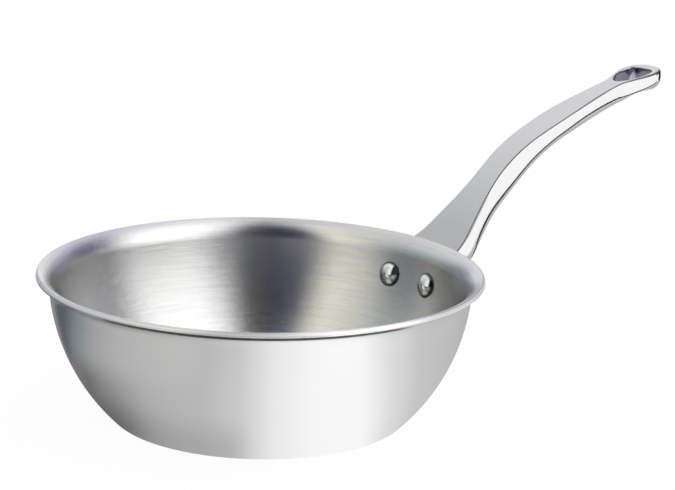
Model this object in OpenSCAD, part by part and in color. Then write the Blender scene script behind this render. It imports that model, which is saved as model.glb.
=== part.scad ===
// Saucier pan with a riveted cast handle, lengths in millimetres
// The origin is on the underside at the bowl's axis, the handle points along X and Z is up

/* [Bowl] */
// Diameter over the flared rim
rim_d = 240; // [200:1:300]
// Height from the underside to the top of the rim
pan_h = 80; // [65:1:100]
// Radius of the tight bend round the base
base_corner_r = 6; // [4:0.5:12]
// Lean of the sheet where the tight bend ends, in degrees from level
corner_lean = 44; // [36:1:50]
// Lean of the wall where the flare starts, in degrees from level
wall_lean = 84.5; // [78:0.5:88]
// Radius of the pouring flare, on its outer face
flare_r = 9.9; // [7:0.1:14]
// Lean of the sheet at the cut edge, in degrees from level
flare_lean = 15; // [8:1:30]

/* [Clad sheet] */
// Thickness of the inner stainless skin
inner_skin_t = 0.5; // [0.3:0.05:0.8]
// Thickness of the alloy sheet above the core
upper_bond_t = 0.3; // [0.2:0.05:0.5]
// Thickness of the aluminium core
core_t = 1.1; // [0.8:0.1:2]
// Thickness of the alloy sheet under the core
lower_bond_t = 0.3; // [0.2:0.05:0.5]
// Thickness of the outer stainless skin
outer_skin_t = 0.5; // [0.3:0.05:0.8]
// Bond line left between two sheets
bond_gap = 0.01; // [0.01:0.01:0.03]

/* [Rivets] */
// Distance between the two rivets, across the handle
rivet_spacing = 31; // [28:0.5:34]
// Distance from the top of the rim down to the rivets
rivet_drop = 23; // [22:0.5:25]
// Diameter of the shank
shank_d = 5; // [4:0.5:6]
// Diameter of the domed head inside the bowl
head_d = 14.2; // [11:0.2:15]
// Height of the domed head
head_rise = 3.8; // [2:0.1:4.5]
// Diameter of the tail formed on the outside
tail_d = 10.5; // [8:0.5:11.5]
// Height of the formed tail
tail_rise = 2.2; // [1.5:0.1:3]
// Clearance round the shank, on the radius
shank_clearance = 0.1; // [0.05:0.05:0.3]
// Gap left under a head or a tail
head_gap = 0.05; // [0.02:0.01:0.1]

/* [Flange] */
// Width of the flange across the handle
flange_w = 50; // [47:1:56]
// Height of the flange
flange_h = 24; // [22:0.5:26]
// Distance from the rivets down to the middle of the flange
flange_drop = 1; // [0:0.5:2]
// Thickness of the flange
flange_t = 4; // [3:0.5:5]
// Gap between the flange and the wall
seat_gap = 0.05; // [0.02:0.01:0.15]
// Depth of the flat seat cut into the flange under each formed tail
seat_cut = 0.3; // [0.25:0.05:0.6]
// Clearance of the recess round each formed tail, on the radius
recess_clearance = 1.8; // [1:0.1:2.2]

/* [Handle path] */
// Distance from the top of the rim down to the handle's top face at the flange
root_drop = 8.2; // [8:0.1:11]
// Distance from the rim's edge in to the handle's top face at the flange
root_inset = 4.5; // [3:0.5:6]
// Slope of the top face at the flange, in degrees
root_slope = 10; // [5:1:20]
// Radius of the upward bend behind the rim
root_bend_r = 44; // [36:1:52]
// Slope of the straight lower part, in degrees
shank_slope = 43.5; // [35:0.5:50]
// Length of the straight lower part
shank_run = 39.4; // [34:0.2:50]
// Radius of the bend into the grip
grip_bend_r = 106; // [80:1:140]
// Turn of the bend into the grip, in degrees
grip_bend_turn = 21; // [12:1:30]
// Radius of the gentle curve along the grip
grip_arc_r = 480; // [380:10:1200]
// Length of the top face from the flange to the tip, along its curve
handle_run = 213; // [190:1:240]

/* [Handle section] */
// Width at the flange
root_w = 44.6; // [42:0.2:48]
// Width at the narrow part behind the pan
waist_w = 17.4; // [14:0.2:22]
// Width at the middle of the grip
grip_w = 19.4; // [15:0.2:26]
// Width just before the hanging eye
neck_w = 13.6; // [12:0.2:20]
// Width over the hanging eye
eye_w = 26; // [24.4:0.2:30]
// Depth at the flange
root_depth = 26; // [23:0.5:27]
// Depth of the straight lower part
throat_depth = 18.4; // [15:0.2:21]
// Depth at the narrow part
waist_depth = 19.6; // [14:0.2:22]
// Depth at the middle of the grip
grip_depth = 14; // [10:0.2:18]
// Depth at the hanging eye
eye_depth = 12.8; // [9:0.2:15]
// Width of the chamfer along the edges of the top face
edge_cut = 0.7; // [0.4:0.1:1.2]
// Distance from the flange back into the wall to the widest and deepest section
root_back = 15; // [11:0.5:17]
// Distance from the flange to the shallowest section of the lower part
throat_at = 48.8; // [44:0.2:54]
// Distance from the flange to the narrowest section behind the pan
waist_at = 71.2; // [66:0.2:80]
// Distance from the flange to the middle of the grip
grip_at = 126; // [110:1:140]
// Distance from the tip back to the narrowest section before the eye
neck_back = 37; // [32:0.5:40]
// Distance from the tip back to the widest section of the eye
eye_back = 11.5; // [9:0.5:13]

/* [Hanging eye] */
// Length of the hole along the handle
hole_l = 25; // [18:0.2:26]
// Width of the hole
hole_w = 18.6; // [12:0.2:19]
// Land between the hole and the tip
tip_land = 7.5; // [6:0.1:9]
// Radius of the nose that rounds the tip's upper edge
nose_r = 1.5; // [1:0.1:3]

/* [Hidden] */

round_fn = 180;
small_fn = 64;

// Steps along the corner bend, the wall and the flare of the sheet's outline
corner_steps = 6;
wall_steps = 16;
flare_steps = 10;

// Depth of each sheet's outer face inside the bowl's outer face
lower_bond_in = outer_skin_t + bond_gap;
core_in = lower_bond_in + lower_bond_t + bond_gap;
upper_bond_in = core_in + core_t + bond_gap;
inner_skin_in = upper_bond_in + upper_bond_t + bond_gap;
sheet_t = inner_skin_in + inner_skin_t;

// The outer face's outline: a flat, a tight bend, a wide arc up the wall and a flare that turns back
rim_r = rim_d / 2;
flare_top = pan_h - sheet_t * cos(flare_lean);
neck_z = flare_top - flare_r * (cos(flare_lean) - cos(wall_lean));
neck_r = rim_r - flare_r * (sin(wall_lean) - sin(flare_lean));
corner_z = base_corner_r * (1 - cos(corner_lean));
wall_arc_r = (neck_z - corner_z) / (cos(corner_lean) - cos(wall_lean));
corner_r = neck_r - wall_arc_r * (sin(wall_lean) - sin(corner_lean));
base_r = corner_r - base_corner_r * sin(corner_lean);

// Points of the outline, moved in by a depth square to the sheet; a negative depth moves it out
function corner_arc(depth) = [for (i = [0:corner_steps])
    let (a = corner_lean * i / corner_steps, r = base_corner_r - depth)
    [base_r + r * sin(a), base_corner_r - r * cos(a)]];
function wall_arc(depth) = [for (i = [1:wall_steps])
    let (a = corner_lean + (wall_lean - corner_lean) * i / wall_steps, r = wall_arc_r - depth)
    [corner_r - wall_arc_r * sin(corner_lean) + r * sin(a),
     corner_z + wall_arc_r * cos(corner_lean) - r * cos(a)]];
function flare_arc(depth) = [for (i = [1:flare_steps])
    let (a = wall_lean + (flare_lean - wall_lean) * i / flare_steps, r = flare_r + depth)
    [neck_r + flare_r * sin(wall_lean) - r * sin(a),
     neck_z - flare_r * cos(wall_lean) + r * cos(a)]];
function sheet_line(depth) = concat([[0, depth]], corner_arc(depth), wall_arc(depth), flare_arc(depth));
function reversed(list) = [for (i = [len(list) - 1:-1:0]) list[i]];

// Height, lean, radius and azimuth of the wall at the rivets
rivet_h = pan_h - rivet_drop;
rivet_lean = acos(cos(corner_lean) - (rivet_h - corner_z) / wall_arc_r);
rivet_r = corner_r + wall_arc_r * (sin(rivet_lean) - sin(corner_lean));
rivet_azimuth = asin(rivet_spacing / 2 / rivet_r);
// A flat head on the hollow wall touches at its edge first, this far in from the middle
head_sag = pow(head_d / 2, 2) / (2 * (rivet_r - sheet_t));
bore_r = shank_d / 2 + shank_clearance;
recess_r = tail_d / 2 + recess_clearance;
recess_at = seat_gap + flange_t - seat_cut;
tail_at = recess_at + head_gap;
// The shank runs this far into its head and its tail, so that they are one solid
shank_bite = 0.5;

// Start of the handle's top face, and the stretch of it that is sunk in the wall before it is cut
root_x = rim_r - root_inset;
root_z = pan_h - root_drop;
root_sunk = 14;
flange_sunk = 1;
// Lengths of the top face's four stretches
root_bend_run = root_bend_r * (shank_slope - root_slope) * PI / 180;
grip_bend_run = grip_bend_r * grip_bend_turn * PI / 180;
shank_from = root_bend_run;
bend_from = shank_from + shank_run;
grip_from = bend_from + grip_bend_run;
neck_at = handle_run - neck_back;
eye_at = handle_run - eye_back;

// A point of the top face is [x, z, slope]; an arc bends down where its radius is positive
function along(p, s) = [p[0] + s * cos(p[2]), p[1] + s * sin(p[2]), p[2]];
function bent(p, s, r) = let (a = p[2] - s / r * 180 / PI)
    [p[0] + r * (sin(p[2]) - sin(a)), p[1] + r * (cos(a) - cos(p[2])), a];
root_point = [root_x, root_z, root_slope];
shank_point = bent(root_point, root_bend_run, -root_bend_r);
bend_point = along(shank_point, shank_run);
grip_point = bent(bend_point, grip_bend_run, grip_bend_r);
function top_point(s) =
    s < 0 ? along(root_point, s) :
    s < shank_from ? bent(root_point, s, -root_bend_r) :
    s < bend_from ? along(shank_point, s - shank_from) :
    s < grip_from ? bent(bend_point, s - bend_from, grip_bend_r) :
    bent(grip_point, s - grip_from, grip_arc_r);

// Half widths and depths at stations along the top face, joined by curves that level out at each one
half_widths = [[-root_back, root_w / 2], [waist_at, waist_w / 2], [grip_at, grip_w / 2],
               [neck_at, neck_w / 2], [eye_at, eye_w / 2]];
depths = [[-root_back, root_depth], [throat_at, throat_depth], [waist_at, waist_depth],
          [grip_at, grip_depth], [eye_at, eye_depth]];
function ease(u) = u * u * (3 - 2 * u);
function eased(table, s, i = 0) =
    i > len(table) - 2 ? table[len(table) - 1][1] :
    s < table[i + 1][0]
        ? let (u = max(0, (s - table[i][0]) / (table[i + 1][0] - table[i][0])))
          table[i][1] + (table[i + 1][1] - table[i][1]) * ease(u)
        : eased(table, s, i + 1);
// Past the eye's widest section the outline closes like a squared ellipse
tip_power = 2.2;
belly_power = 5;
tip_flat = 0.6;
function closing(s, power) = s < eye_at ? 1
    : pow(max(0, 1 - pow((s - eye_at) / (handle_run - eye_at), power)), 1 / power);

// The nose rolls the top face down over the last stretch
nose_at = handle_run - nose_r;
function nose_drop(s) = s < nose_at ? 0 : nose_r - sqrt(max(0, pow(nose_r, 2) - pow(s - nose_at, 2)));

// A section is flat on top, chamfered at its edges and a squared half ellipse below
section_power = 2.4;
section_steps = 24;
ring = section_steps + 3;
function section(s) = let (
        p = top_point(s),
        top = nose_drop(s),
        w = eased(half_widths, s) * closing(s, tip_power),
        cut = min(edge_cut, w / 2),
        d = max(eased(depths, s) * closing(s, belly_power), top + cut + tip_flat),
        half = [for (i = [0:section_steps]) let (a = 180 * i / section_steps)
            [-sign(cos(a)) * w * pow(abs(cos(a)), 2 / section_power),
             top + cut + (d - top - cut) * pow(sin(a), 2 / section_power)]],
        outline = concat([[cut - w, top]], half, [[w - cut, top]]))
    [for (q = outline) [p[0] + q[1] * sin(p[2]), q[0], p[1] - q[1] * cos(p[2])]];

body_steps = 44;
tip_steps = 9;
tip_ratio = 0.998;
body_stops = [for (i = [0:body_steps]) -root_sunk + (eye_at + root_sunk) * i / body_steps];
tip_stops = [for (i = [1:tip_steps]) eye_at + (handle_run - eye_at) * tip_ratio * sin(90 * i / tip_steps)];
stops = concat(body_stops, tip_stops);

// The hole is an egg whose wide end, towards the tip, is squared
hole_steps = 48;
hole_swell = 0.3;
hole_blunt = 0.75;
hole_square = 0.25;
// Greatest half width that the egg's formula gives for a half width of 1
hole_peak = 1.06;
hole_at = handle_run - tip_land - hole_l / 2;
hole_reach = 30;
function hole_outline() = [for (i = [0:hole_steps - 1])
    let (a = 360 * i / hole_steps, blunt = hole_blunt - hole_square * cos(a))
    [hole_l / 2 * cos(a),
     sign(sin(a)) * hole_w / 2 / hole_peak * (1 + hole_swell * cos(a)) * pow(abs(sin(a)), blunt)]];

// A ring of sheet between two depths inside the bowl's outer face
module sheet(outer_depth, thickness) {
    difference() {
        rotate_extrude($fn = round_fn)
            polygon(concat(sheet_line(outer_depth), reversed(sheet_line(outer_depth + thickness))));
        rivet_bores();
    }
}

// Places its children on a rivet's axis, with Z pointing out of the wall from its outer face
module at_rivet(side) {
    rotate([0, 0, side * rivet_azimuth])
        translate([rivet_r, 0, rivet_h])
            rotate([0, 180 - rivet_lean, 0])
                children();
}

module rivet_bores() {
    for (side = [-1, 1])
        at_rivet(side)
            translate([0, 0, -sheet_t - head_d])
                cylinder(h = sheet_t + flange_t + 2 * head_d, r = bore_r, $fn = small_fn);
}

// A shallow dome on the plane z = 0
module dome(d, rise) {
    ball_r = (pow(d / 2, 2) + rise * rise) / (2 * rise);
    intersection() {
        translate([0, 0, rise - ball_r])
            sphere(r = ball_r, $fn = small_fn);
        cylinder(h = rise, r = d / 2, $fn = small_fn);
    }
}

module rivet(side) {
    head_at = -sheet_t - head_sag - head_gap;
    at_rivet(side) {
        translate([0, 0, head_at - shank_bite])
            cylinder(h = tail_at - head_at + 2 * shank_bite, r = shank_d / 2, $fn = small_fn);
        translate([0, 0, head_at])
            mirror([0, 0, 1])
                dome(head_d, head_rise);
        translate([0, 0, tail_at])
            dome(tail_d, tail_rise);
    }
}

// The bowl as a solid lump, swollen by the seat gap, that the handle is fitted to
module bowl_lump() {
    line = sheet_line(-seat_gap);
    rotate_extrude($fn = round_fn)
        polygon(concat(line, [[0, line[len(line) - 1][1]]]));
}

// The flange is drawn too deep, and the bowl's lump then cuts its seat
module flange() {
    middle_z = rivet_h - flange_drop;
    end_r = flange_h / 2;
    intersection() {
        rotate_extrude($fn = round_fn)
            polygon(concat(sheet_line(-seat_gap - flange_t), reversed(sheet_line(flange_sunk))));
        translate([0, 0, middle_z])
            rotate([90, 0, 90])
                linear_extrude(height = rim_r + flange_w)
                    union() {
                        square([flange_w - 2 * end_r, flange_h], center = true);
                        for (side = [-1, 1])
                            translate([side * (flange_w / 2 - end_r), 0])
                                circle(r = end_r, $fn = small_fn);
                    }
    }
}

module handle_sweep() {
    rows = len(stops);
    points = [for (s = stops) each section(s)];
    skin = [for (i = [0:rows - 2], j = [0:ring - 1])
        let (a = i * ring + j, b = i * ring + (j + 1) % ring)
        each [[a, b + ring, b], [a, a + ring, b + ring]]];
    last = (rows - 1) * ring;
    near_cap = [for (j = [1:ring - 2]) [0, j, j + 1]];
    far_cap = [for (j = [1:ring - 2]) [last, last + j + 1, last + j]];
    polyhedron(points = points, faces = concat(skin, near_cap, far_cap));
}

module eye_hole() {
    p = top_point(hole_at);
    translate([p[0], 0, p[1]])
        rotate([0, -p[2], 0])
            translate([0, 0, -hole_reach])
                linear_extrude(height = 2 * hole_reach)
                    polygon(hole_outline());
}

// Room for a formed tail and the tool that forms it, under the handle's root
module tail_recesses() {
    reach = root_w;
    for (side = [-1, 1])
        at_rivet(side)
            translate([0, 0, recess_at])
                cylinder(h = reach, r = recess_r, $fn = small_fn);
}

module inner_skin() {
    color([0.80, 0.80, 0.81]) sheet(inner_skin_in, inner_skin_t);
}

module upper_bond_sheet() {
    color([0.70, 0.71, 0.72]) sheet(upper_bond_in, upper_bond_t);
}

module aluminium_core() {
    color([0.86, 0.87, 0.88]) sheet(core_in, core_t);
}

module lower_bond_sheet() {
    color([0.70, 0.71, 0.72]) sheet(lower_bond_in, lower_bond_t);
}

module outer_skin() {
    color([0.88, 0.88, 0.89]) sheet(0, outer_skin_t);
}

module handle() {
    color([0.74, 0.74, 0.76])
        difference() {
            union() {
                handle_sweep();
                flange();
            }
            bowl_lump();
            tail_recesses();
            rivet_bores();
            eye_hole();
        }
}

module rivet_left() {
    color([0.90, 0.90, 0.92]) rivet(1);
}

module rivet_right() {
    color([0.90, 0.90, 0.92]) rivet(-1);
}

inner_skin();
upper_bond_sheet();
aluminium_core();
lower_bond_sheet();
outer_skin();
handle();
rivet_left();
rivet_right();
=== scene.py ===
import bmesh
import bpy
import numpy as np
from mathutils import Matrix


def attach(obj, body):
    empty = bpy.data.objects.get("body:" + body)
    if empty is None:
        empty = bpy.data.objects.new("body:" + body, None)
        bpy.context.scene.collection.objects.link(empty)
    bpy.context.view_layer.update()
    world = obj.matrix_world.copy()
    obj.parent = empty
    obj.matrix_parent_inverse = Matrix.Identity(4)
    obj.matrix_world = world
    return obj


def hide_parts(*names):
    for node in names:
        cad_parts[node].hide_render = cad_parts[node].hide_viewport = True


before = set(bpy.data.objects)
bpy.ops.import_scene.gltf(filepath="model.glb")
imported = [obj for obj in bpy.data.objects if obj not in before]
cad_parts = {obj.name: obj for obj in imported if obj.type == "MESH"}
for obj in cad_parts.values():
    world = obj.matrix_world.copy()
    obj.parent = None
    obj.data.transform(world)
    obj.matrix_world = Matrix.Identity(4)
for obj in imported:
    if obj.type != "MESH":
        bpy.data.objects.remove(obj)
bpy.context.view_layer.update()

mm = 0.001


# Small helpers

def unit(vector):
    return np.asarray(vector, float) / np.linalg.norm(vector)


def eased(stations, s):
    # between two stations the value follows u*u*(3-2u), so it levels out at each one
    at, value = np.array(stations, float).T
    step = np.clip(np.searchsorted(at, s, side="right") - 1, 0, len(at) - 2)
    u = np.clip((s - at[step]) / (at[step + 1] - at[step]), 0, 1)
    return value[step] + (value[step + 1] - value[step]) * u * u * (3 - 2 * u)


def meshPiece(name, points, faces, marks=None, smoothAngle=None):
    # points in mm; faces is a list of index arrays with 3 or 4 columns
    mesh = bpy.data.meshes.new(name)
    flat = [face for block in faces for face in block.tolist()]
    mesh.from_pydata((points * mm).tolist(), [], flat)
    for key, values in (marks or {}).items():
        layer = mesh.attributes.new(key, "FLOAT", "POINT")
        layer.data.foreach_set("value", np.ascontiguousarray(values, np.float32))
    mesh.validate()
    mesh.shade_smooth()
    if smoothAngle:
        mesh.set_sharp_from_angle(angle=np.radians(smoothAngle))
    piece = bpy.data.objects.new(name, mesh)
    bpy.context.scene.collection.objects.link(piece)
    return piece


def gridFaces(index, closed=False):
    # quads of a grid of vertex numbers; a closed grid joins its last column to its first
    if closed:
        index = np.concatenate([index, index[:, :1]], 1)
    a, b, c, d = index[:-1, :-1], index[:-1, 1:], index[1:, 1:], index[1:, :-1]
    return np.stack([a, b, c, d], -1).reshape(-1, 4)


def tidyFaces(faces):
    # a quad that has two corners in one place becomes a triangle
    quads, triangles = [], []
    for block in faces:
        if block.shape[1] == 3:
            triangles.append(block)
            continue
        same = [block[:, k] == block[:, (k + 1) % 4] for k in range(4)]
        count = sum(part.astype(int) for part in same)
        quads.append(block[count == 0])
        for k in range(4):
            keep = [j for j in range(4) if j != k]
            triangles.append(block[(count == 1) & same[k]][:, keep])
    return quads + triangles


def welded(points, faces, marks, reach=1e-4):
    # merges points that lie in one place, and drops the faces that vanish
    key = np.round(points / reach).astype(np.int64)
    _, first, inverse = np.unique(key, axis=0, return_index=True, return_inverse=True)
    inverse = inverse.reshape(-1)
    kept = {key: values[first] for key, values in marks.items()}
    return points[first], tidyFaces([inverse[block] for block in faces]), kept


# Camera, as the photograph was taken

photo = dict(width=675, height=490, focal=2429.13, middleX=261.323, middleY=269.530,
             tilt=14.985, roll=-1.091, distance=1300.0, azimuth=39.45, rimHeight=80.0,
             sensor=36, clip=(0.05, 50))


def makeCamera():
    tilt, roll, turn = (np.radians(photo[key]) for key in ("tilt", "roll", "azimuth"))
    ahead = np.array([0, np.cos(tilt), -np.sin(tilt)])
    side = np.array([1.0, 0, 0])
    axes = np.array([side, np.cross(side, ahead), ahead])
    rolled = np.array([[np.cos(roll), -np.sin(roll), 0], [np.sin(roll), np.cos(roll), 0], [0, 0, 1]]) @ axes
    aim = unit([(photo["middleX"] - photo["width"] / 2) / photo["focal"],
                -(photo["middleY"] - photo["height"] / 2) / photo["focal"], 1])
    # the smallest turn that takes the lens axis to the rim's centre in the picture
    axis = np.cross([0, 0, 1], aim)
    sine, cosine = np.linalg.norm(axis), aim[2]
    x, y, z = axis / sine
    cross = np.array([[0, -z, y], [z, 0, -x], [-y, x, 0]])
    swing = np.eye(3) + sine * cross + (1 - cosine) * cross @ cross
    turned = np.array([[np.cos(turn), np.sin(turn), 0], [-np.sin(turn), np.cos(turn), 0], [0, 0, 1]])
    right, up, forward = (swing @ rolled) @ turned.T
    place = turned @ (-ahead * photo["distance"]) + [0, 0, photo["rimHeight"]]
    data = bpy.data.cameras.new("camera")
    data.sensor_width = photo["sensor"]
    data.lens = photo["focal"] / photo["width"] * data.sensor_width
    data.clip_start, data.clip_end = photo["clip"]
    camera = bpy.data.objects.new("camera", data)
    bpy.context.scene.collection.objects.link(camera)
    pose = np.eye(4)
    pose[:3, 0], pose[:3, 1], pose[:3, 2], pose[:3, 3] = right, up, -forward, place * mm
    camera.matrix_world = Matrix(pose.tolist())
    bpy.context.scene.camera = camera
    flat = unit([forward[0], forward[1], 0])
    return -flat, unit([right[0], right[1], 0])


towardCamera, toTheRight = makeCamera()
print("camera set")


# Material writing

class Wire:
    # one socket of a node tree; arithmetic on it adds Math nodes
    def __init__(self, desk, socket):
        self.desk, self.socket = desk, socket

    def math(self, kind, other, swapped=False):
        pair = (other, self) if swapped else (self, other)
        return self.desk.node("ShaderNodeMath", dict(operation=kind), *pair)

    def __add__(self, other):
        return self.math("ADD", other)

    def __radd__(self, other):
        return self.math("ADD", other, True)

    def __sub__(self, other):
        return self.math("SUBTRACT", other)

    def __rsub__(self, other):
        return self.math("SUBTRACT", other, True)

    def __mul__(self, other):
        return self.math("MULTIPLY", other)

    def __rmul__(self, other):
        return self.math("MULTIPLY", other, True)

    def __truediv__(self, other):
        return self.math("DIVIDE", other)

    def __pow__(self, other):
        return self.math("POWER", other)

    def clamped(self):
        return self.desk.node("ShaderNodeClamp", {}, self, 0.0, 1.0)

    def between(self, low, high, toLow=0.0, toHigh=1.0):
        # a smooth step from low to high
        return self.desk.node("ShaderNodeMapRange", dict(interpolation_type="SMOOTHSTEP"),
                              self, low, high, toLow, toHigh)

    def falling(self, low, high):
        return self.between(low, high, 1, 0)


class Desk:
    # the node tree of one material, or of the world
    def __init__(self, tree):
        self.tree = tree
        tree.nodes.clear()

    def node(self, kind, settings, *values, out=0, stops=None, named=None):
        # values go to the sockets in order, where None leaves one alone, and named ones by their names
        made = self.tree.nodes.new(kind)
        for key, value in settings.items():
            setattr(made, key, value)
        if stops:
            ramp = made.color_ramp.elements
            ramp.remove(ramp[1])
            ramp[0].position = stops[0][0]
            for index, (place, colour) in enumerate(stops):
                element = ramp.new(place) if index else ramp[0]
                element.color = (*colour, 1) if isinstance(colour, tuple) else (colour, colour, colour, 1)
        byName = [(made.inputs[key], value) for key, value in (named or {}).items()]
        for socket, value in list(zip(made.inputs, values)) + byName:
            if value is None:
                continue
            if isinstance(value, Wire):
                self.tree.links.new(value.socket, socket)
            else:
                socket.default_value = value
        return Wire(self, made.outputs[out]) if made.outputs else made

    def place(self):
        # Object coordinates
        return self.node("ShaderNodeTexCoord", {}, out=3)

    def parts(self, vector):
        split = self.node("ShaderNodeSeparateXYZ", {}, vector)
        return [Wire(self, socket) for socket in split.socket.node.outputs]

    def joined(self, x, y, z):
        return self.node("ShaderNodeCombineXYZ", {}, x, y, z)

    def mark(self, name):
        # the number that a piece's mesh carries under this name
        return self.node("ShaderNodeAttribute", dict(attribute_name=name), out=2)

    def noise(self, vector, scale=1.0, detail=3.0, rough=0.5):
        return self.node("ShaderNodeTexNoise", {}, vector, None, scale, detail, rough)

    def rays(self):
        path = self.node("ShaderNodeLightPath", {})
        return {socket.name: Wire(self, socket) for socket in path.socket.node.outputs}

    def blend(self, share, first, second):
        # a Mix node set to colour has its share, first and second colour at inputs 0, 6 and 7
        made = self.tree.nodes.new("ShaderNodeMix")
        made.data_type = "RGBA"
        for index, value in ((0, share), (6, first), (7, second)):
            if isinstance(value, Wire):
                self.tree.links.new(value.socket, made.inputs[index])
            else:
                made.inputs[index].default_value = value if index == 0 else tuple(value) + (1,)
        return Wire(self, made.outputs[2])

    def byBearing(self, turn, stops):
        # a colour ramp round the part, with its stops given in degrees
        shares = [((angle + 180) / 360, colour) for angle, colour in stops]
        return self.node("ShaderNodeValToRGB", {}, turn, stops=shares)

    def bump(self, height, strength):
        settings = {"Strength": strength, "Distance": 0.0002, "Height": height}
        return self.node("ShaderNodeBump", {}, named=settings)

    def surface(self, settings):
        return self.node("ShaderNodeBsdfPrincipled", {}, named=settings)

    def finish(self, surface, kind="ShaderNodeOutputMaterial"):
        self.node(kind, {}, surface)


def newMaterial(name):
    material = bpy.data.materials.new(name)
    material.use_nodes = True
    return material, Desk(material.node_tree)


# Metal that is brushed in circles round the bowl's axis. The mark "run" is the distance along the
# sheet's outline from the axis, so the streaks stay level on the wall and are rings on the floor.
brush = dict(streakTurns=5.0, coarseTurns=3.0, coarser=0.17, cloudScale=14.0, lip=(0.0735, 0.0755))


def circleBrushed(name, tone, shade, rough, spread, fineness, depth, stretch, metal=1.0, grain=0.85,
                  gloss=0.0):
    material, desk = newMaterial(name)
    x, y, z = desk.parts(desk.place())
    reach = (x * x + y * y + 1e-7) ** 0.5              # never 0, not on the axis either
    run = desk.mark("run")
    east, north = x / reach, y / reach
    quick, slow = brush["streakTurns"], brush["coarseTurns"]
    streaks = desk.noise(desk.joined(east * quick, north * quick, run * fineness), detail=4.0, rough=0.65)
    coarse = desk.joined(east * slow, north * slow, run * (fineness * brush["coarser"]))
    coarse = desk.noise(coarse, detail=2.0)
    cloud = desk.noise(desk.place(), scale=brush["cloudScale"], detail=2.0)
    wear = (streaks * 0.7 + coarse * 0.5 - 0.1).clamped()
    colour = desk.blend((wear - 0.5) * stretch + 0.5 + (cloud - 0.5) * 0.25, shade, tone)
    roughness = rough + (streaks - 0.5) * spread + (cloud - 0.5) * spread * 0.5
    roughness = roughness * z.between(*brush["lip"], 1, 1 - gloss)       # smoother on the lip of the rim
    desk.finish(desk.surface({"Base Color": colour, "Metallic": metal, "Roughness": roughness,
                              "Normal": desk.bump(streaks, depth), "Anisotropic": grain,
                              "Anisotropic Rotation": 0.25}))
    return material


# The clad bowl

bowl = dict(rimRadius=120.0, height=80.0, cornerRadius=6.0, cornerLean=44.0, wallLean=84.5,
            flareRadius=9.9, flareLean=15.0,
            innerSkin=0.5, upperBond=0.3, core=1.1, lowerBond=0.3, outerSkin=0.5, bondGap=0.01,
            turns=384, floorSteps=14, cornerSteps=12, wallSteps=60, flareSteps=28, edgeSteps=15,
            edgeClear=0.02,                            # points nearer to the edge than this are left out
            # the cut edge: how high its foot and face reach, how far they stand back, and the two roundings
            edge=dict(foot=0.25, face=0.7, faceLow=0.06, faceHigh=0.0, footRound=0.18, topRound=1.0))
plies = ("innerSkin", "upperBond", "core", "lowerBond", "outerSkin")
bowl["sheet"] = sum(bowl[ply] for ply in plies) + 4 * bowl["bondGap"]


def bowlArcs():
    # the leans between the outline's arcs, the places where they meet and the wall's radius, as in the part
    corner, wall, flare = (np.radians(bowl[key]) for key in ("cornerLean", "wallLean", "flareLean"))
    flareTop = bowl["height"] - bowl["sheet"] * np.cos(flare)
    neckZ = flareTop - bowl["flareRadius"] * (np.cos(flare) - np.cos(wall))
    neckR = bowl["rimRadius"] - bowl["flareRadius"] * (np.sin(wall) - np.sin(flare))
    cornerZ = bowl["cornerRadius"] * (1 - np.cos(corner))
    wallRadius = (neckZ - cornerZ) / (np.cos(corner) - np.cos(wall))
    cornerR = neckR - wallRadius * (np.sin(wall) - np.sin(corner))
    return dict(corner=corner, wall=wall, flare=flare, neckZ=neckZ, neckR=neckR, cornerZ=cornerZ,
                wallRadius=wallRadius, cornerR=cornerR, baseR=cornerR - bowl["cornerRadius"] * np.sin(corner))


arcs = bowlArcs()


def sheetLine(depth, floor=None, corner=None, wall=None, flare=None):
    # r and z along the outline, moved in by a depth square to the sheet; a point of an arc of radius R at
    # the lean a is (r0 + R sin a, z0 - R cos a)
    c, big, small, out = arcs, arcs["wallRadius"], bowl["cornerRadius"], bowl["flareRadius"]
    floor, corner = floor or bowl["floorSteps"], corner or bowl["cornerSteps"]
    wall, flare = wall or bowl["wallSteps"], flare or bowl["flareSteps"]
    r = np.linspace(0, c["baseR"], floor, endpoint=False)
    base = np.stack([r, np.full_like(r, depth)], 1)
    a = np.linspace(0, c["corner"], corner, endpoint=False)
    bend = np.stack([c["baseR"] + (small - depth) * np.sin(a), small - (small - depth) * np.cos(a)], 1)
    a = np.linspace(c["corner"], c["wall"], wall, endpoint=False)
    side = np.stack([c["cornerR"] - big * np.sin(c["corner"]) + (big - depth) * np.sin(a),
                     c["cornerZ"] + big * np.cos(c["corner"]) - (big - depth) * np.cos(a)], 1)
    a = np.linspace(c["wall"], c["flare"], flare)
    lip = np.stack([c["neckR"] + out * np.sin(c["wall"]) - (out + depth) * np.sin(a),
                    c["neckZ"] - out * np.cos(c["wall"]) + (out + depth) * np.cos(a)], 1)
    return np.concatenate([base, bend, side, lip])


def travelled(line):
    # the distance from the first point to each one
    return np.concatenate([[0], np.cumsum(np.hypot(*np.diff(line, axis=0).T))])


def lathe(name, outline, turns, smoothAngle=40, run=None):
    # turns a closed outline of r and z about Z; both ends lie on the axis
    run = travelled(outline) if run is None else run
    angle = np.arange(turns) * 2 * np.pi / turns
    r, z = outline[:, :1], outline[:, 1:]
    points = np.stack([r * np.cos(angle), r * np.sin(angle), z + 0 * angle], -1).reshape(-1, 3)
    index = np.arange(len(outline) * turns).reshape(len(outline), turns)
    marks = dict(run=np.repeat(run * mm, turns))
    points, faces, marks = welded(points, [gridFaces(index, closed=True)], marks)
    return meshPiece(name, points, faces, marks, smoothAngle)


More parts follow.
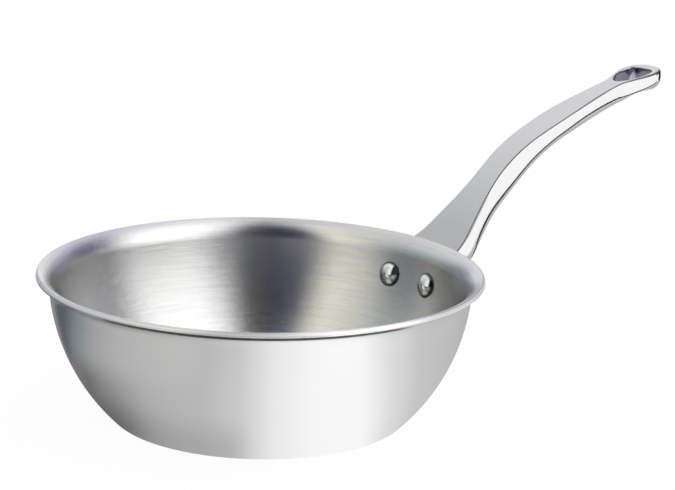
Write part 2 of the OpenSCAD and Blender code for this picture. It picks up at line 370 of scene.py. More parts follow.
def edgeSetback(depth):
    # how far the cut edge stands back along the sheet: a round foot, a nearly upright face, a wide round top
    e = bowl["edge"]
    foot = np.clip((e["foot"] - depth) / e["foot"], 0, 1)
    top = np.clip((depth - e["face"]) / (bowl["sheet"] - e["face"]), 0, 1)
    face = np.interp(depth, (e["foot"], e["face"]), (e["faceLow"], e["faceHigh"]))
    return face + e["footRound"] * (1 - np.sqrt(1 - foot ** 2)) + e["topRound"] * (1 - np.sqrt(1 - top ** 2))


def plySheet(name, depth, thickness, steps=None):
    # a sheet between two depths: out along its outer face, over the cut edge and back along its inner face
    steps = steps or {}
    outer, inner = sheetLine(depth, **steps), sheetLine(depth + thickness, **steps)
    along = np.array([np.cos(arcs["flare"]), np.sin(arcs["flare"])])
    t = np.linspace(0, 1, bowl["edgeSteps"])
    across = (1 - np.cos(np.pi * t)) / 2                  # closer together at both faces
    edge = outer[-1] + (inner[-1] - outer[-1]) * across[:, None]
    edge = edge - edgeSetback(depth + thickness * across)[:, None] * along
    outer = outer[(outer - edge[0]) @ along < -bowl["edgeClear"]]
    inner = inner[(inner - edge[-1]) @ along < -bowl["edgeClear"]]
    out, back = np.concatenate([outer, edge]), np.concatenate([edge[-1:], inner[::-1]])
    runOut = travelled(out)
    run = np.concatenate([runOut, runOut[-1] - travelled(back)[1:]])     # the same on both faces
    return lathe(name, np.concatenate([out, back[1:]]), bowl["turns"], run=run)


innerDepth = bowl["sheet"] - bowl["innerSkin"]
bondOne = bowl["outerSkin"] + bowl["bondGap"]
coreDepth = bondOne + bowl["lowerBond"] + bowl["bondGap"]
bondTwo = coreDepth + bowl["core"] + bowl["bondGap"]
fewer = dict(floor=4, corner=6, wall=30, flare=20)
insideSkin = plySheet("bowl_inside", innerDepth, bowl["innerSkin"])
outsideSkin = plySheet("bowl_outside", 0.0, bowl["outerSkin"])
bondUpper = plySheet("bond_upper", bondTwo, bowl["upperBond"], steps=fewer)
coreSheet = plySheet("core_sheet", coreDepth, bowl["core"], steps=fewer)
bondLower = plySheet("bond_lower", bondOne, bowl["lowerBond"], steps=fewer)

brushedInside = circleBrushed("brushed_inside", tone=(0.66, 0.66, 0.655), shade=(0.52, 0.52, 0.52),
                              rough=0.23, spread=0.12, fineness=3800.0, depth=0.45, stretch=1.5, grain=1.0)
polishedOutside = circleBrushed("polished_outside", tone=(0.88, 0.88, 0.875), shade=(0.84, 0.84, 0.84),
                                rough=0.22, spread=0.05, fineness=5000.0, depth=0.03, stretch=0.5, gloss=0.88)
ground = dict(rough=0.44, spread=0.08, fineness=9000.0, depth=0.1, stretch=0.8, metal=0.5)
groundCore = circleBrushed("ground_core", tone=(0.86, 0.86, 0.86), shade=(0.76, 0.76, 0.76), **ground)
groundBond = circleBrushed("ground_bond", tone=(0.74, 0.74, 0.75), shade=(0.62, 0.62, 0.63), **ground)
for piece, material, node, slot in (
        (insideSkin, brushedInside, "inner_skin", "brushed_stainless"),
        (outsideSkin, polishedOutside, "outer_skin", "polished_stainless"),
        (bondUpper, groundBond, "upper_bond_sheet", "bond_alloy"),
        (coreSheet, groundCore, "aluminium_core", "core_aluminium"),
        (bondLower, groundBond, "lower_bond_sheet", "bond_alloy")):
    piece.data.materials.append(material)
    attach(piece, "root")
    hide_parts(node)
print("bowl made")


# The rivets

rivets = dict(spacing=31.0, drop=23.0, shank=5.0, head=14.2, headRise=3.8, tail=10.5, tailRise=2.2,
              headGap=0.05, turns=96, seatGap=0.05, flange=4.0, seatCut=0.3, smoothAngle=50,
              # a cap's rounded rim: radius, flatness and first angle, and where the dome stops above it
              edge=0.35, edgeFlat=0.6, edgeFrom=0.35, edgeSteps=6, capSteps=40, capEnds=1.2,
              # where the painted shade round the foot of the head lies, as distance along the outline in
              # metres
              foot=(0.0056, 0.0074))
tailSeat = rivets["seatGap"] + rivets["flange"] - rivets["seatCut"]      # how far out of the wall it sits


def rivetPlace(side):
    # the turn that takes Z out of the wall at a rivet, the rivet's place and its distance from the axis
    height = bowl["height"] - rivets["drop"]
    tilt = np.arccos(np.cos(arcs["corner"]) - (height - arcs["cornerZ"]) / arcs["wallRadius"])
    reach = arcs["cornerR"] + arcs["wallRadius"] * (np.sin(tilt) - np.sin(arcs["corner"]))
    turn = side * np.arcsin(rivets["spacing"] / 2 / reach)
    swing = np.pi - tilt
    spin = np.array([[np.cos(turn), -np.sin(turn), 0], [np.sin(turn), np.cos(turn), 0], [0, 0, 1]])
    bow = np.array([[np.cos(swing), 0, np.sin(swing)], [0, 1, 0], [-np.sin(swing), 0, np.cos(swing)]])
    return spin @ bow, spin @ np.array([reach, 0, height]), reach


def atRivet(piece, side):
    # moves a lathed piece from the axis to a rivet's place
    turned, middle, _ = rivetPlace(side)
    place = np.empty(len(piece.data.vertices) * 3)
    piece.data.vertices.foreach_get("co", place)
    place = (place.reshape(-1, 3) / mm) @ turned.T + middle
    piece.data.vertices.foreach_set("co", (place * mm).ravel())
    piece.data.update()
    return piece


def capLine(diameter, rise):
    # r and height of a round cap from its middle to its rim, with the rim's corner rounded
    edge = rivets["edge"]
    ball = ((diameter / 2) ** 2 + rise ** 2) / (2 * rise)
    a = np.linspace(0, np.arcsin(diameter / 2 / ball), rivets["capSteps"])
    cap = np.stack([ball * np.sin(a), ball * np.cos(a) - ball + rise], 1)
    t = np.linspace(rivets["edgeFrom"], np.pi / 2, rivets["edgeSteps"])
    rim = np.stack([diameter / 2 - edge * (1 - np.sin(t)) * rivets["edgeFlat"], edge * np.cos(t)], 1)
    return np.concatenate([cap[cap[:, 1] > edge * rivets["capEnds"]], rim])


def makeRivet(name, side, node):
    reach = rivetPlace(side)[2]
    sag = (rivets["head"] / 2) ** 2 / (2 * (reach - bowl["sheet"]))      # the round wall falls away by this
    headAt, tailAt = -bowl["sheet"] - sag - rivets["headGap"], tailSeat + rivets["headGap"]
    head = capLine(rivets["head"], rivets["headRise"]) * [1, -1] + [0, headAt]
    tail = (capLine(rivets["tail"], rivets["tailRise"]) + [0, tailAt])[::-1]
    shank = np.array([[rivets["shank"] / 2, headAt], [rivets["shank"] / 2, tailAt]])
    outline = np.concatenate([head, shank, tail])
    piece = atRivet(lathe(name, outline, rivets["turns"], rivets["smoothAngle"]), side)
    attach(piece, "root")
    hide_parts(node)
    return piece


def rivetFinish():
    material, desk = newMaterial("rivet_polish")
    cloud = desk.noise(desk.place(), scale=160.0, detail=4.0, rough=0.6)
    scratch = desk.noise(desk.place(), scale=1400.0, detail=2.0, rough=0.6)
    colour = desk.blend(cloud, (0.62, 0.62, 0.63), (0.72, 0.72, 0.72))
    foot = desk.mark("run").between(*rivets["foot"])   # painted shade at the foot of the head, where it meets the wall
    colour = desk.blend(foot, colour, (0.06, 0.06, 0.07))
    rough = 0.07 + scratch * 0.05 + cloud * 0.04
    desk.finish(desk.surface({"Base Color": colour, "Metallic": 1.0, "Roughness": rough,
                              "Normal": desk.bump(scratch, 0.04)}))
    return material


rivetPolish = rivetFinish()
for side, name, node in ((1, "rivet_far", "rivet_left"), (-1, "rivet_near", "rivet_right")):
    makeRivet(name, side, node).data.materials.append(rivetPolish)
print("rivets made")


# The cast handle

handle = dict(rootDrop=8.23, rootInset=4.52, rootSlope=10.0, rootBend=44.0, shankSlope=43.5, shankRun=39.4,
              gripBend=106.0, gripTurn=21.0, gripArc=480.0, run=213.0,
              rootWide=44.6, waistWide=17.4, gripWide=19.4, neckWide=13.6, eyeWide=26.0,
              rootDeep=26.0, throatDeep=18.4, waistDeep=19.6, gripDeep=14.0, eyeDeep=12.8,
              rootBack=15.0, throatAt=48.8, waistAt=71.2, gripAt=126.0, neckBack=37.0, eyeBack=11.5,
              edge=0.75, noseEdge=1.5, widePower=2.2, bellyPower=5.0, power=2.4,
              holeLong=25.0, holeWide=18.6, tipLand=7.5, holeSwell=0.3, holeBlunt=0.75, holeSquare=0.25,
              holePeak=1.06, holeEdge=0.6, holeFoot=0.5, sunk=14.0, leastBelly=0.6,
              # the x span in metres over which the painted shade on the top fades out away from the bowl
              recessRadius=7.05, recessLong=44.0, patchBack=5.0, sharpAngle=32, paintedShadeNearBowl=(0.115, 0.185),
              # rows and steps of the mesh; the belly has topSteps too
              shankRows=200, topSteps=27, sideSteps=15, sideEnds=40.0, roundSteps=7, eyeRows=34, tipRows=73,
              rayLong=1.6, halvings=46, holeFine=4001, holeRoll=6, flatSteps=9, bellySteps=12, wallRows=10,
              wallShine=0.7,
              flange=dict(wide=50.0, high=24.0, drop=1.0, low=5.0, edge=0.9, inWall=1.5, outer=1.0, steps=120,
                          roundSteps=7, rings=10),
              # the sector of the bowl that is cut away: lowest height, inner radius and half angle
              lump=dict(foot=20, heart=80, half=20, steps=81, wallSteps=90))
handle["neckAt"] = handle["run"] - handle["neckBack"]
handle["eyeAt"] = handle["run"] - handle["eyeBack"]
handle["holeAt"] = handle["run"] - handle["tipLand"] - handle["holeLong"] / 2
patchAt = handle["holeAt"] - handle["holeLong"] / 2 - handle["patchBack"]      # where the eye's mesh starts
edgeShine = np.linspace(0, 1, handle["roundSteps"])
# directions round the section: 0 on the side and 90 degrees in the middle of the belly
sideEnds = np.radians(handle["sideEnds"])
betaSide = np.linspace(0, sideEnds, handle["sideSteps"])
betaBelly = np.linspace(sideEnds, np.pi - sideEnds, handle["topSteps"])


def travel(x, z, slope, radius, t):
    # x, z and slope after the distance t, straight or on an arc that bends down with this radius
    if radius is None:
        return x + t * np.cos(slope), z + t * np.sin(slope), slope + 0 * t
    last = slope - t / radius
    return x + radius * (np.sin(slope) - np.sin(last)), z + radius * (np.cos(last) - np.cos(slope)), last


def handlePath(s):
    # x, z and slope of the top face's middle line: bend up, straight, bend down, gentle arc
    h = handle
    s = np.asarray(s, float)
    at = bowl["rimRadius"] - h["rootInset"], bowl["height"] - h["rootDrop"], np.radians(h["rootSlope"])
    path, start = travel(*at, None, s), 0.0
    for radius, length in (
            (-h["rootBend"], h["rootBend"] * np.radians(h["shankSlope"] - h["rootSlope"])),
            (None, h["shankRun"]),
            (h["gripBend"], h["gripBend"] * np.radians(h["gripTurn"])),
            (h["gripArc"], h["run"])):
        t = s - start
        path = [np.where(t >= 0, new, old) for new, old in zip(travel(*at, radius, t), path)]
        at, start = travel(*at, radius, length), start + length
    return path


def onHandle(s, y, down):
    # the point at s along the top face, y across it and down square to it
    x, z, slope = handlePath(s)
    return np.stack([x + down * np.sin(slope), y + 0 * x, z - down * np.cos(slope)], -1)


def closing(s, power):
    # 1 up to the eye's widest section, then (1 - u^n)^(1/n) down to 0 at the tip
    u = np.clip((s - handle["eyeAt"]) / (handle["run"] - handle["eyeAt"]), 0, 1)
    return (1 - u ** power) ** (1 / power)


def halfWidth(s):
    # of the plan outline
    h = handle
    stations = ((-h["rootBack"], h["rootWide"] / 2), (h["waistAt"], h["waistWide"] / 2),
                (h["gripAt"], h["gripWide"] / 2), (h["neckAt"], h["neckWide"] / 2),
                (h["eyeAt"], h["eyeWide"] / 2))
    return eased(stations, s) * closing(s, h["widePower"])


def edgeRound(s):
    # the rounding along the top face's edge, wider round the eye
    h = handle
    return eased(((h["neckAt"], h["edge"]), (h["eyeAt"], h["noseEdge"])), s)


def fullDepth(s):
    # from the top face to the middle of the belly
    h = handle
    stations = ((-h["rootBack"], h["rootDeep"]), (h["throatAt"], h["throatDeep"]),
                (h["waistAt"], h["waistDeep"]), (h["gripAt"], h["gripDeep"]), (h["eyeAt"], h["eyeDeep"]))
    return np.maximum(eased(stations, s) * closing(s, h["bellyPower"]), edgeRound(s) + h["leastBelly"])


def bellyDepth(s, y):
    # depth of the underside: |y/w|^2.4 + ((down-cut)/(d-cut))^2.4 = 1
    n, cut = handle["power"], edgeRound(s)
    share = np.clip(np.abs(y) / np.maximum(halfWidth(s), 1e-6), 0, 1)
    return cut + (fullDepth(s) - cut) * (1 - share ** n) ** (1 / n)


def holeOutline(angle):
    # an egg whose wide end, towards the tip, is squared; s and y
    h = handle
    blunt = h["holeBlunt"] - h["holeSquare"] * np.cos(angle)
    wide = h["holeWide"] / 2 / h["holePeak"] * (1 + h["holeSwell"] * np.cos(angle))
    y = wide * np.abs(np.sin(angle)) ** blunt
    return np.stack([h["holeAt"] + h["holeLong"] / 2 * np.cos(angle), np.sign(np.sin(angle)) * y], -1)


def outwardNormals(loop):
    # square to a closed loop that runs counterclockwise in s and y
    along = np.roll(loop, -1, 0) - np.roll(loop, 1, 0)
    normal = np.stack([along[:, 1], -along[:, 0]], -1)
    return normal / np.maximum(np.linalg.norm(normal, axis=1, keepdims=True), 1e-9)


class Patchwork:
    # gathers grids of points into one mesh, with two marks: polish is 0 on the top face and 1 on the
    # mirror sides, and bore is 1 in the hanging hole
    def __init__(self):
        self.points, self.faces, self.polish, self.bore, self.count = [], [], [], [], 0

    def add(self, grid, polish, bore=0.0, closed=False, flip=False):
        rows, columns = grid.shape[:2]
        index = np.arange(rows * columns).reshape(rows, columns) + self.count
        block = gridFaces(index, closed)
        self.faces.append(block[:, ::-1] if flip else block)
        self.points.append(grid.reshape(-1, 3))
        self.polish.append(np.broadcast_to(polish, (rows, columns)).ravel())
        self.bore.append(np.broadcast_to(bore, (rows, columns)).ravel())
        self.count += rows * columns


def sideShare(beta):
    # a point of the squared ellipse in direction beta from the side (0) round the belly
    power = handle["power"]
    reach = (np.abs(np.cos(beta)) ** power + np.abs(np.sin(beta)) ** power) ** (-1 / power)
    return reach * np.cos(beta), reach * np.sin(beta)


def planSide(s):
    # the plan outline on the +y side
    return np.stack([s, halfWidth(s)], -1)


def inward(s):
    # square to the plan outline on the +y side, towards the middle
    step = 0.01
    slope = (halfWidth(s + step) - halfWidth(s - step)) / (2 * step)
    return np.stack([slope, -np.ones_like(slope)], -1) / np.hypot(slope, 1)[:, None]


def tipPlan(theta):
    # the plan outline past the eye's widest section, in direction theta: a squared ellipse
    a, b, n = handle["eyeBack"], handle["eyeWide"] / 2, handle["widePower"]
    reach = ((np.cos(theta) / a) ** n + (np.abs(np.sin(theta)) / b) ** n) ** (-1 / n)
    return np.stack([handle["eyeAt"] + reach * np.cos(theta), reach * np.sin(theta)], -1)


def tipInward(theta):
    step = 1e-3
    along = tipPlan(theta - step) - tipPlan(theta + step)
    return np.stack([along[:, 1], -along[:, 0]], -1) / np.linalg.norm(along, axis=1, keepdims=True)


def edgeRows(plan, normal):
    # s, y and down over the rounding from the top face (90 degrees) to the side (0)
    turn = np.radians(np.linspace(90, 0, handle["roundSteps"]))
    cut = edgeRound(plan[:, 0])[:, None]
    off = cut * (1 - np.cos(turn))
    return plan[:, :1] + normal[:, :1] * off, plan[:, 1:] + normal[:, 1:] * off, cut * (1 - np.sin(turn))


def sideRows(s, beta):
    # s, y and down over the side and belly, in the directions beta
    across, below = sideShare(beta)
    w, cut, deep = (measure(s)[:, None] for measure in (halfWidth, edgeRound, fullDepth))
    return s[:, None] + 0 * beta, w * across, cut + (deep - cut) * below


def addShank(work):
    # the shank and grip: rows from the root to where the eye's patch starts
    s = np.linspace(-handle["sunk"], patchAt, handle["shankRows"])
    sEdge, yEdge, downEdge = edgeRows(planSide(s), inward(s))
    for side in (1, -1):
        work.add(onHandle(sEdge, yEdge * side, downEdge), edgeShine, flip=side < 0)
    across = np.linspace(1, -1, handle["topSteps"])
    sTop = sEdge[:, :1] + 0 * across
    work.add(onHandle(sTop, yEdge[:, :1] * across, 0 * sTop), 0.0, flip=True)
    beta = np.concatenate([betaSide, betaBelly[1:-1], (np.pi - betaSide)[::-1]])
    sRows, yRows, downRows = sideRows(s, beta)
    work.add(onHandle(sRows, yRows, downRows), 1.0)
    # the root's end, inside the flange
    left, right = (onHandle(sEdge[:1], yEdge[:1] * side, downEdge[:1])[0] for side in (1, -1))
    end = np.concatenate([left, onHandle(sRows[:1], yRows[:1], downRows[:1])[0][1:], right[::-1][1:]])
    centre = np.broadcast_to(end.mean(0), end.shape)
    work.add(np.stack([end, centre]), 0.0, closed=True)


def inTip(k, reach, theta):
    # whether the points at the share k of each ray from the eye's middle lie in the handle, and their places
    h = handle
    flat = k * reach * np.cos(betaSide)
    s, y = h["eyeAt"] + flat * np.cos(theta)[:, None], flat * np.sin(theta)[:, None]
    down = h["noseEdge"] + k * (h["eyeDeep"] - h["noseEdge"]) * np.sin(betaSide)
    u = np.clip((s - h["eyeAt"]) / h["eyeBack"], 0, 1)
    wide = h["eyeWide"] / 2 * (1 - u ** h["widePower"]) ** (1 / h["widePower"])
    tall = h["eyeDeep"] * (1 - u ** h["bellyPower"]) ** (1 / h["bellyPower"]) - h["noseEdge"]
    share = (np.abs(y) / np.maximum(wide, 1e-9)) ** h["power"]
    share = share + ((down - h["noseEdge"]) / np.maximum(tall, 1e-9)) ** h["power"]
    return (np.abs(y) < wide) & (tall > 0) & (share < 1), np.stack([s, y, down], -1)


def tipSide(reach, theta):
    # the side round the tip, found on rays from the eye's middle by halving the span again and again
    low = np.zeros((len(theta), len(betaSide)))
    high = np.full(low.shape, handle["rayLong"])
    for _ in range(handle["halvings"]):
        middle = (low + high) / 2
        within = inTip(middle, reach, theta)[0]
        low, high = np.where(within, middle, low), np.where(within, high, middle)
    return inTip(low, reach, theta)[1]


def addEye(work):
    # the eye's rounded edge and side: along the +y side, round the tip and back along the -y side
    h = handle
    straight = np.linspace(patchAt, h["eyeAt"], h["eyeRows"])
    theta = np.radians(np.linspace(90, -90, h["tipRows"]))[1:-1]
    mirror = [1, -1]
    plan = np.concatenate([planSide(straight), tipPlan(theta), planSide(straight[::-1]) * mirror])
    normal = np.concatenate([inward(straight), tipInward(theta), inward(straight[::-1]) * mirror])
    s, y, down = edgeRows(plan, normal)
    work.add(onHandle(s, y, down), edgeShine)
    near = np.stack(sideRows(straight, betaSide), -1)
    reach = np.linalg.norm(plan[len(straight):-len(straight)] - [h["eyeAt"], 0], axis=1)[:, None]
    strip = np.concatenate([near, tipSide(reach, theta), near[::-1] * [1, -1, 1]])
    strip[:, 0] = np.stack([s[:, -1], y[:, -1], down[:, -1]], -1)
    work.add(onHandle(strip[..., 0], strip[..., 1], strip[..., 2]), 1.0)
    return np.stack([s[:, 0], y[:, 0]], -1), strip


def holeLoop(outer):
    # the hole's outline at the bearings of an outer loop, and the way out from it
    fine = np.linspace(-np.pi, np.pi, handle["holeFine"])
    trace = holeOutline(fine)
    bearing = np.unwrap(np.arctan2(trace[:, 1], trace[:, 0] - handle["holeAt"]))
    want = np.arctan2(outer[:, 1], outer[:, 0] - handle["holeAt"])
    order = np.argsort(bearing)
    hole = holeOutline(np.interp(want, bearing[order], fine[order]))
    return hole, outwardNormals(hole[::-1])[::-1]


def addTopFace(work, lip, outer):
    # the flat between the hole and the rounded edge, and the last step that closes the ring
    share = np.linspace(0, 1, handle["flatSteps"])[None, :, None]
    flat = lip[:, -1][:, None] + (outer - lip[:, -1])[:, None] * share
    for rows in (flat, np.stack([flat[-1], flat[0]])):
        work.add(onHandle(rows[..., 0], rows[..., 1], 0 * rows[..., 0])[::-1], 0.0)


def addUnderside(work, foot, strip):
    # the belly between the hole and the side
    row = halfWidth(np.array([patchAt])) * sideShare(betaBelly)[0]
    row = np.stack([np.full(len(betaBelly), patchAt), row], -1)[::-1]
    outer = np.concatenate([strip[:, -1, :2], row[1:-1]])
    share = np.sin(np.linspace(0, np.pi / 2, handle["bellySteps"]))[None, :, None]
    flat = foot[:, -1][:, None] + (outer - foot[:, -1])[:, None] * share
    deepest = bellyDepth(flat[..., 0], flat[..., 1])
    deepest[:len(strip), -1] = strip[:, -1, 2]
    belly = onHandle(flat[..., 0], flat[..., 1], deepest)
    work.add(np.concatenate([belly, belly[:1]]), 1.0)


def addHole(work, rim, strip):
    # the eye's top face, the belly under it and the hole's wall with both its edges rounded
    h = handle
    across = np.linspace(0, 1, h["topSteps"])[1:-1]
    start = np.stack([np.full(len(across), rim[0, 0]), rim[-1, 1] + (rim[0, 1] - rim[-1, 1]) * across], -1)
    outer = np.concatenate([rim, start])
    hole, away = holeLoop(outer)
    roll = np.radians(np.linspace(0, 90, h["holeRoll"]))
    lip = hole[:, None] + away[:, None] * (h["holeEdge"] * (1 - np.cos(roll)))[None, :, None]
    foot = hole[:, None] + away[:, None] * (h["holeFoot"] * (1 - np.cos(roll)))[None, :, None]
    addTopFace(work, lip, outer)
    addUnderside(work, foot, strip)
    lipDown = np.broadcast_to(h["holeEdge"] * (1 - np.sin(roll)), lip.shape[:2])
    footDown = bellyDepth(foot[..., 0], foot[..., 1]) - h["holeFoot"] * (1 - np.sin(roll))
    inner = h["wallRows"] - 2
    wallShare = np.linspace(0, 1, h["wallRows"])[None, 1:-1]
    wallDown = lipDown[:, :1] + (footDown[:, :1] - lipDown[:, :1]) * wallShare
    wall = np.broadcast_to(hole[:, None], (len(hole), inner, 2))
    s, y = (np.concatenate([lip[:, ::-1, k], wall[..., k], foot[..., k]], 1) for k in (0, 1))
    ring = onHandle(s, y, np.concatenate([lipDown[:, ::-1], wallDown, footDown], 1))
    ends = np.linspace(0, 1, h["holeRoll"])
    footShine = np.linspace(h["wallShine"], 1.0, h["holeRoll"])
    shine = np.concatenate([ends, np.full(inner, h["wallShine"]), footShine])
    bore = np.concatenate([ends, np.full(inner, 1.0), ends[::-1]])
    work.add(np.concatenate([ring, ring[:1]])[::-1], shine, bore)


def handleMesh():
    work = Patchwork()
    addShank(work)
    rim, strip = addEye(work)
    addHole(work, rim, strip)
    marks = dict(polish=np.concatenate(work.polish), bore=np.concatenate(work.bore))
    return welded(np.concatenate(work.points), work.faces, marks, reach=2e-3)


def lumpSector():
    # the bowl as a solid lump swollen by the seat gap, only the sector that the root meets
    lump = handle["lump"]
    line = sheetLine(-rivets["seatGap"], wall=lump["wallSteps"])
    line = line[line[:, 1] > lump["foot"]]
    line = np.concatenate([[[lump["heart"], line[0, 1]]], line, [[lump["heart"], line[-1, 1]]]])
    angle = np.radians(np.linspace(-lump["half"], lump["half"], lump["steps"]))
    grid = np.stack([line[:, :1] * np.cos(angle), line[:, :1] * np.sin(angle), line[:, 1:] + 0 * angle], -1)
    index = np.arange(grid[..., 0].size).reshape(grid.shape[:2])
    ends = [index[:, 0], index[::-1, -1]]
    caps = [np.stack([np.full(len(e) - 2, e[0]), e[1:-1], e[2:]], -1) for e in ends]
    loop = gridFaces(np.concatenate([index, index[:1]]))
    return meshPiece("lump", grid.reshape(-1, 3), [loop[:, ::-1]] + caps)


def flangeSolid():
    # a stadium plate that follows the wall: rings of the stadium, drawn in towards its middle line
    f = handle["flange"]
    end, edge = f["high"] / 2, f["edge"]
    straight = f["wide"] / 2 - end
    middle = bowl["height"] - rivets["drop"] - f["drop"]
    turn = np.linspace(0, 2 * np.pi, f["steps"], endpoint=False)
    side = np.clip(np.cos(turn) * 1e3, -1, 1) * straight

    def stadium(inset, depth):
        y = side + (end - inset) * np.cos(turn)
        z = middle + (end - inset) * np.sin(turn)
        line = sheetLine(-depth)
        line = line[line[:, 1] > f["low"]]
        reach = np.interp(z, line[:, 1], line[:, 0])
        return np.stack([np.sqrt(reach ** 2 - y ** 2), y, z], -1)

    thick = rivets["seatGap"] + rivets["flange"]
    centre = end - 0.01                                # nearly the middle line, so that the end is closed
    rings = [stadium(inset, -f["inWall"]) for inset in (centre, end / 2, 0)] + [stadium(0, f["outer"])]
    for a in np.radians(np.linspace(0, 90, f["roundSteps"])):
        rings.append(stadium(edge * (1 - np.cos(a)), thick - edge * (1 - np.sin(a))))
    rings += [stadium(inset, thick) for inset in np.linspace(edge, centre, f["rings"])[1:]]
    grid = np.array(rings)
    index = np.arange(grid[..., 0].size).reshape(grid.shape[:2])
    caps, span = [], f["steps"] // 2
    for row, flip in ((index[0], False), (index[-1], True)):
        quads = np.stack([row[1:span], row[2:span + 1], row[-2:-span - 1:-1], row[-1:-span:-1]], -1)
        caps.append(quads[:, ::-1] if flip else quads)
    return meshPiece("flange", grid.reshape(-1, 3), [gridFaces(index, closed=True)[:, ::-1]] + caps)


def recessSolid(side):
    # a long cylinder that clears the rivet's tail out of the root
    wide = handle["recessRadius"]
    top = tailSeat + handle["recessLong"]
    outline = np.array([[0, tailSeat], [wide, tailSeat], [wide, top], [0, top]])
    return atRivet(lathe("recess", outline, rivets["turns"]), side)


def outwards(piece):
    # recalculates normals so that every face points out of the closed solid
    work = bmesh.new()
    work.from_mesh(piece.data)
    bmesh.ops.remove_doubles(work, verts=work.verts, dist=1e-7)
    bmesh.ops.recalc_face_normals(work, faces=work.faces)
    work.to_mesh(piece.data)
    work.free()
    return piece


def carved(piece, steps):
    # joins and cuts solids, then keeps the result as the piece's own mesh
    for kind, other in steps:
        outwards(other)
        cut = piece.modifiers.new(kind.lower(), "BOOLEAN")
        cut.operation, cut.object, cut.solver = kind, other, "EXACT"
    graph = bpy.context.evaluated_depsgraph_get()
    mesh = bpy.data.meshes.new_from_object(piece.evaluated_get(graph))
    piece.modifiers.clear()
    piece.data = mesh
    for _, other in steps:
        bpy.data.objects.remove(other)
    mesh.shade_smooth()
    mesh.set_sharp_from_angle(angle=np.radians(handle["sharpAngle"]))


points, faces, marks = handleMesh()
handlePiece = outwards(meshPiece("cast_handle", points, faces, marks))
carved(handlePiece, [("UNION", flangeSolid()), ("DIFFERENCE", lumpSector()),
                     ("DIFFERENCE", recessSolid(1)), ("DIFFERENCE", recessSolid(-1))])
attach(handlePiece, "root")
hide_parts("handle")


def handleFinish():
    # a satin top, mirror sides and belly, a thin line of painted shade along the arrises and painted shade in
    # the bore
    material, desk = newMaterial("handle_steel")
    mark = desk.mark("polish")
    polish = mark.between(0.25, 0.75)
    # painted shade: a thin dark line on the rounded edges, where the polish mark is near one half
    edgeShadeLine = (mark * (1 - mark) * 5).clamped()
    place = desk.place()
    grain = desk.noise(place, scale=900.0, detail=3.0, rough=0.6)
    cloud = desk.noise(place, scale=60.0, detail=3.0, rough=0.5)
    near = desk.parts(place)[0].falling(*handle["paintedShadeNearBowl"])      # painted shade: by the bowl the top is darker
    tone = desk.blend(grain, (0.57, 0.573, 0.585), (0.64, 0.64, 0.65))
    tone = desk.blend(near, tone, desk.blend(grain, (0.40, 0.405, 0.415), (0.46, 0.46, 0.47)))
    bright = desk.blend(cloud, (0.86, 0.86, 0.86), (0.93, 0.93, 0.92))
    skin = desk.blend(edgeShadeLine, desk.blend(polish, tone, bright), (0.10, 0.10, 0.11))
    # painted shade in the hanging hole: the bore is a darker blue-grey
    colour = desk.blend(desk.mark("bore"), skin, desk.blend(grain, (0.42, 0.41, 0.47), (0.56, 0.55, 0.61)))
    satin = 0.42 + (grain - 0.5) * 0.18 + (cloud - 0.5) * 0.06
    rough = satin + (0.07 + cloud * 0.05 - satin) * polish
    desk.finish(desk.surface({"Base Color": colour, "Metallic": 1.0, "Roughness": rough,
                              "Normal": desk.bump(grain * (1 - polish), 0.12)}))
    return material


handlePiece.data.materials.append(handleFinish())
print("handle made")


# Floor, world and lamps. Polished metal needs a room to mirror, so the world and the table glow with soft
# boxes and dark gaps for reflected rays alone: the camera sees white, and the table keeps the shadow.
# A ramp gives a colour or a grey at each bearing in degrees from the camera's side towards the right,
# and single bearings are shares of a turn, with 0.5 on the camera's side.

gap, cream, softBox, white = (0.006, 0.007, 0.020), (0.51, 0.482, 0.385), 0.77, (1, 1, 1)
dim = (0.014, 0.018, 0.034)
green = (0.40, 0.40, 0.33)
secondLook = (1.4, 1.6)            # in Glossy Depth: from the second reflection on

